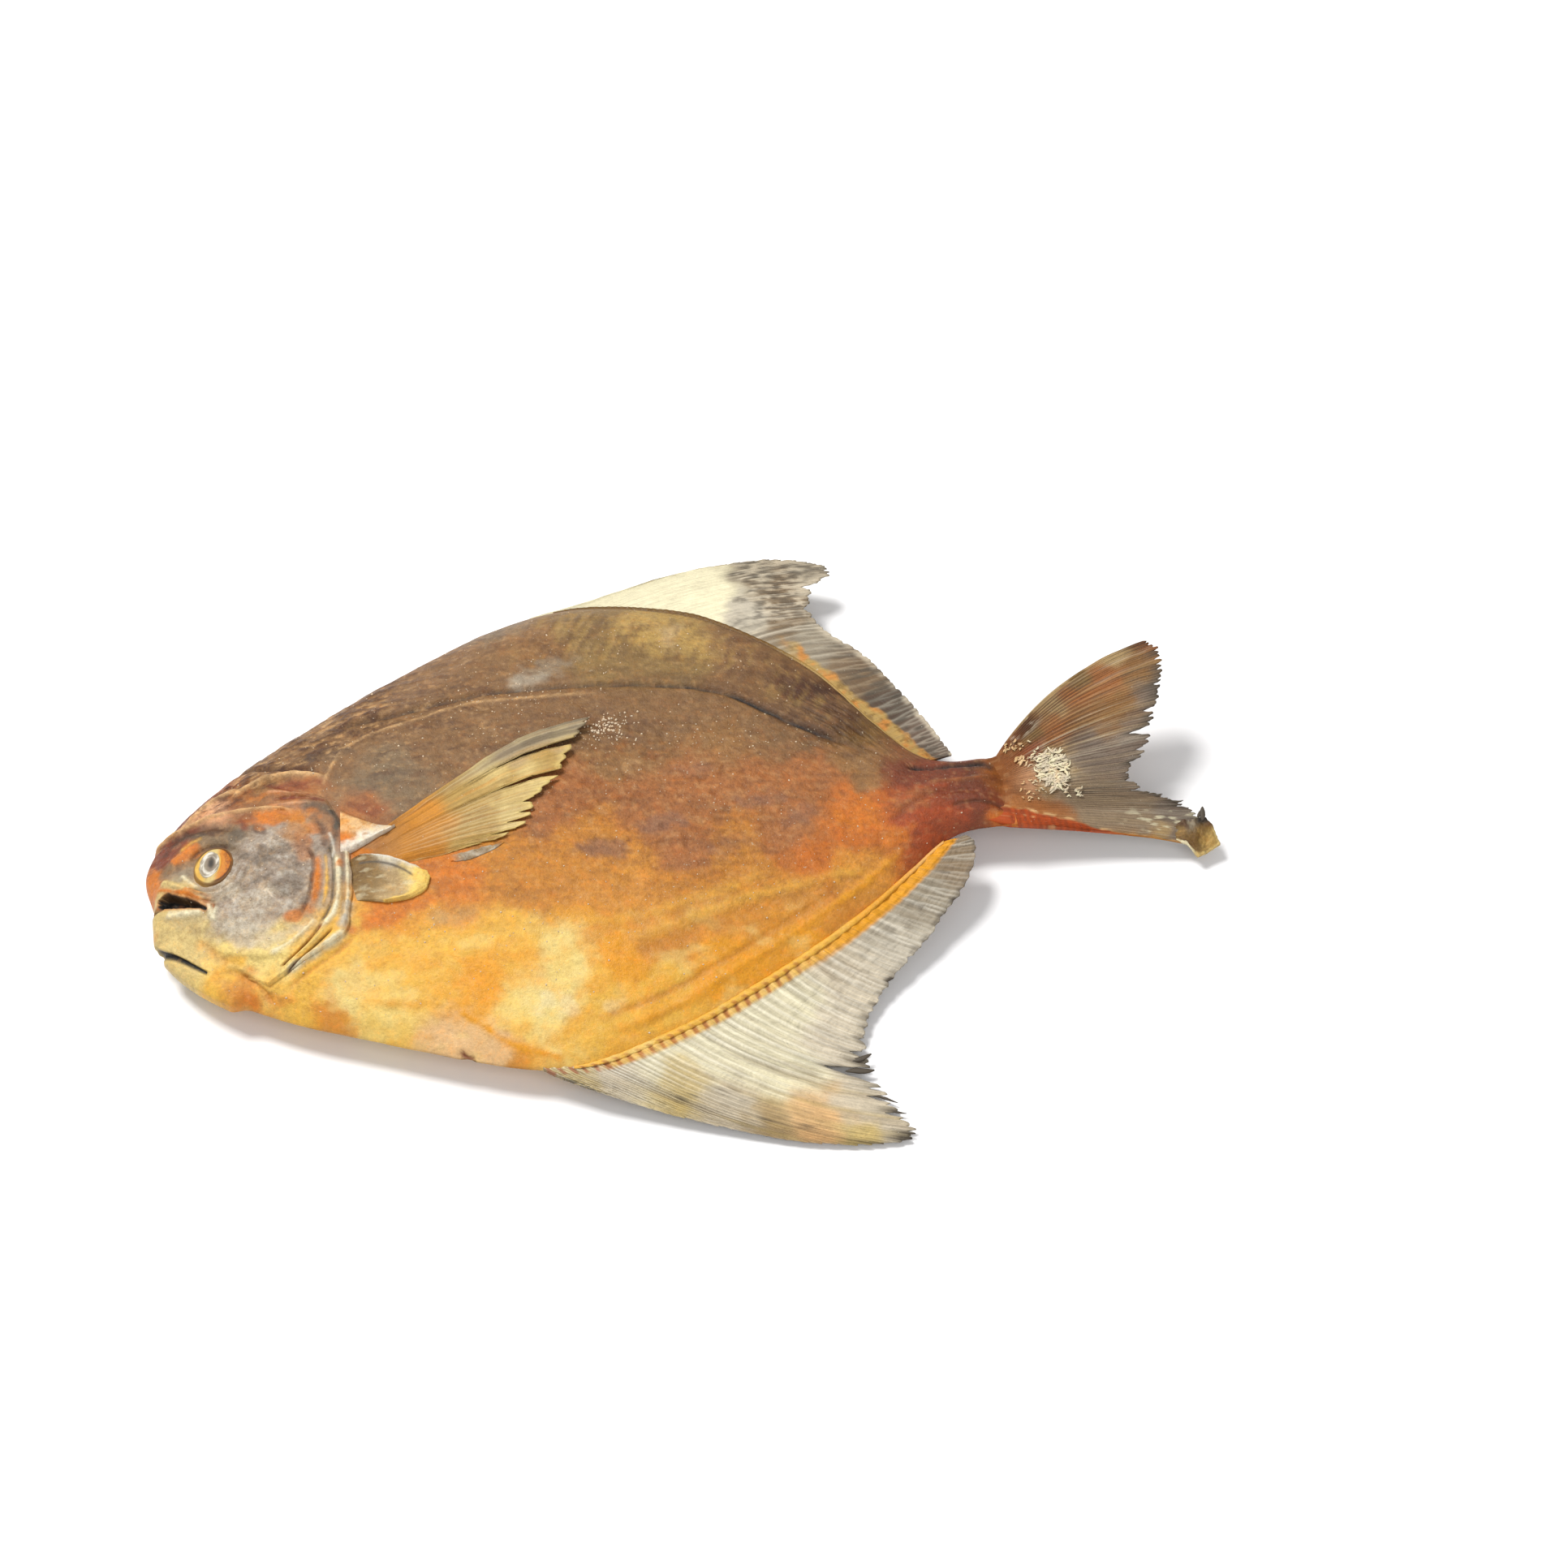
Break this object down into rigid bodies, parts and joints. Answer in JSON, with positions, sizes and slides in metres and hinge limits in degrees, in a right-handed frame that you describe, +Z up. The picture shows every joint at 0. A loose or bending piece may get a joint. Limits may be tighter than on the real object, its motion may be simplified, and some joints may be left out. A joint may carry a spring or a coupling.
{
  "type": "dried pomfret",
  "caption": "Whole dried and salted pomfret lying on its side, with a deep flat body, forked tail, split side fin and ragged back and belly fins",
  "frame": {"origin": "middle of the outline's box, on the surface that the fish lies on", "axes": "+X from the snout to the tail, +Y from the belly to the back, +Z up from the surface"},
  "size_m": [0.2964, 0.1992, 0.0301],
  "materials": {
    "dried_skin": "oily satin dried skin, golden at the belly, red-brown on the flank and grey-brown along the back"
  },
  "bodies": {
    "root": {"pomfret": "dried_skin"}
  },
  "joints": []
}
